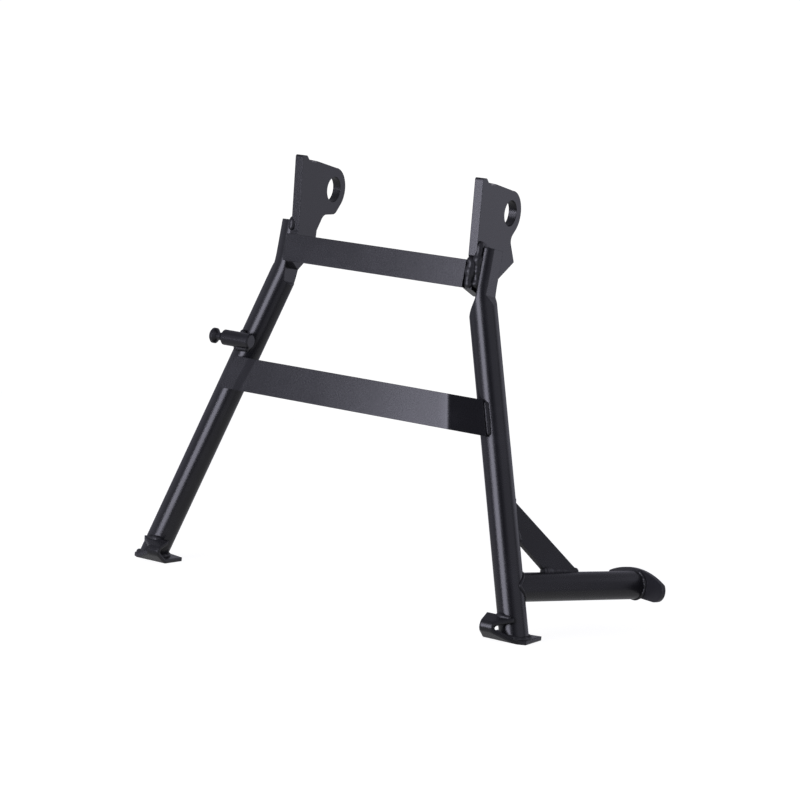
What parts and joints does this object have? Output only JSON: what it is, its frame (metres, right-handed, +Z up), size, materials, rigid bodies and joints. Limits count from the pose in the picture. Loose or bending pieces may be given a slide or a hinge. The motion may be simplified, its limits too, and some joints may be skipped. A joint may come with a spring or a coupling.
{
  "type": "motorcycle centre stand",
  "caption": "Welded tube centre stand: two splayed legs on flat pivot lugs, flat cross straps, folded feet, a spring post and a braced side tang with tread plate.",
  "frame": {"origin": "middle of the pivot axis, halfway between the outer faces of the two lugs", "axes": "+X along the pivot axis towards the foot tang, +Y towards the rear of the motorcycle, +Z up with both soles flat on the ground"},
  "size_m": [0.4657, 0.1836, 0.3823],
  "materials": {
    "frame_black": "semi-gloss black powder coat",
    "weld_black": "semi-gloss black powder coat over weld ripples",
    "lug_black": "black powder coat, thin and greyer on the cut edges"
  },
  "bodies": {
    "root": {"left_pivot_lug": "lug_black", "right_pivot_lug": "lug_black", "left_leg_tube": "frame_black", "right_leg_tube": "frame_black", "upper_cross_strap": "frame_black", "lower_cross_strap": "frame_black", "left_foot": "frame_black", "right_foot": "frame_black", "spring_post": "frame_black", "tang_tube": "frame_black", "tang_gusset": "frame_black", "tang_pad": "frame_black", "left_lug_weld": "weld_black", "right_lug_weld": "weld_black", "upper_strap_left_weld": "weld_black", "upper_strap_right_weld": "weld_black", "lower_strap_left_weld": "weld_black", "lower_strap_right_weld": "weld_black", "left_sole_weld": "weld_black", "right_sole_weld": "weld_black", "left_tongue_weld": "weld_black", "right_tongue_weld": "weld_black", "spring_post_weld": "weld_black", "spring_post_tack": "weld_black", "tang_weld": "weld_black", "pad_weld": "weld_black", "gusset_leg_weld": "weld_black", "gusset_tang_weld": "weld_black"}
  },
  "joints": []
}
